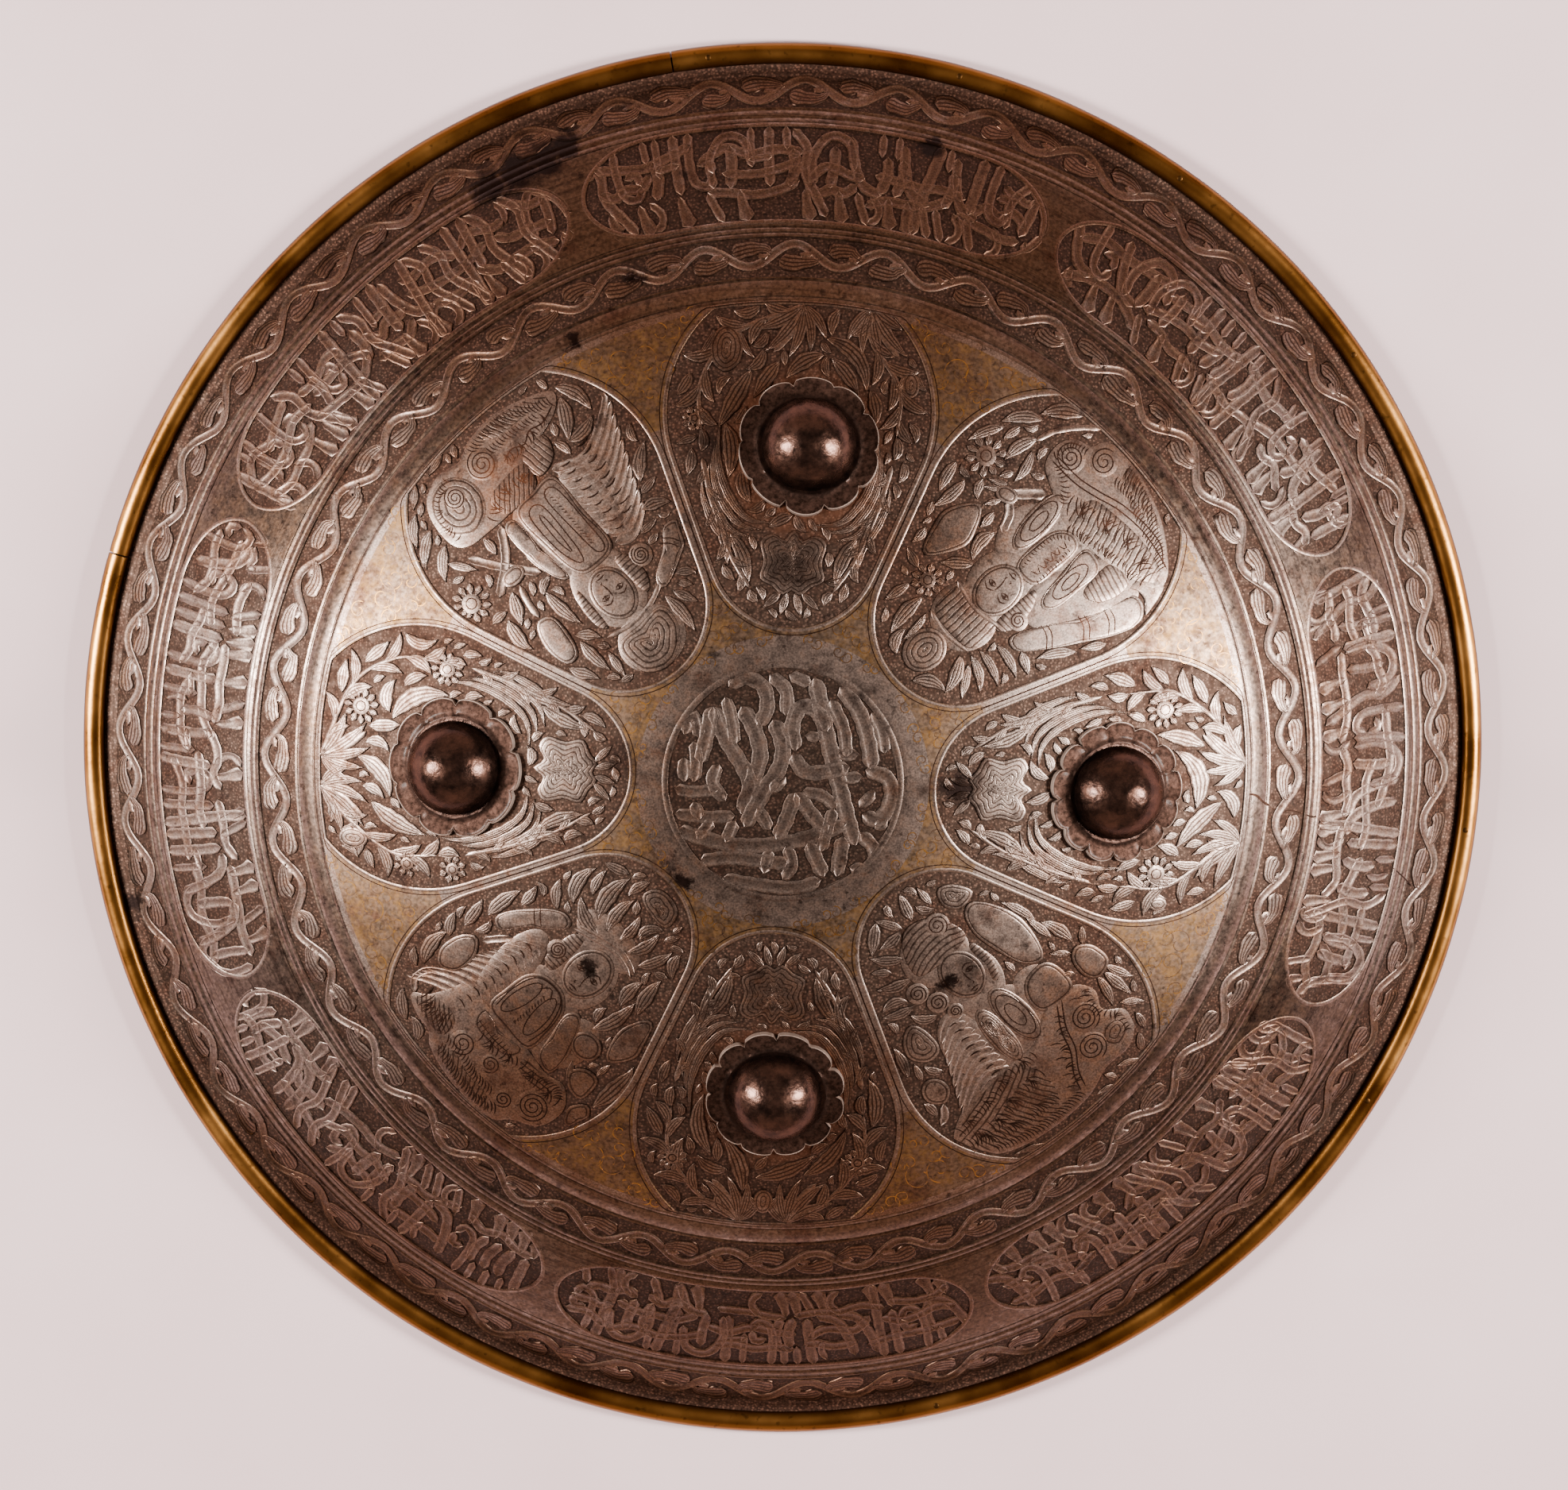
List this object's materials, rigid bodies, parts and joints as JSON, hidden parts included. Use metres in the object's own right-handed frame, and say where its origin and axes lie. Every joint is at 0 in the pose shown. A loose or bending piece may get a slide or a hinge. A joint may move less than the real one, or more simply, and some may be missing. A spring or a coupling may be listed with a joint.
{
  "type": "steel shield",
  "caption": "Round domed steel shield with a chiselled face, a brass-bound rim and domed bosses with scalloped flanges.",
  "frame": {"origin": "on the ground plane under the crown of the dome, at the centre of the rim's underside", "axes": "+Z is the axis of the dome, up through its crown; +Y is the top of the shield's pattern; +X is its right side"},
  "size_m": [0.47, 0.47, 0.0982],
  "materials": {
    "etched_steel": "chiselled and etched steel with brown patina, worn bright on the high lines, traces of gold",
    "boss_steel": "russet-browned steel, burnished",
    "brass": "aged brass, darkened, polished where handled",
    "pin_brass": "darkened pin heads, hammered flush"
  },
  "bodies": {
    "root": {"steel_dome": "etched_steel", "brass_binding_long": "brass", "brass_binding_short": "brass", "boss_top": "boss_steel", "boss_right": "boss_steel", "boss_bottom": "boss_steel", "boss_left": "boss_steel", "binding_pin_1": "pin_brass", "binding_pin_2": "pin_brass", "binding_pin_3": "pin_brass", "binding_pin_4": "pin_brass", "binding_pin_5": "pin_brass", "binding_pin_6": "pin_brass", "binding_pin_7": "pin_brass"}
  },
  "joints": []
}
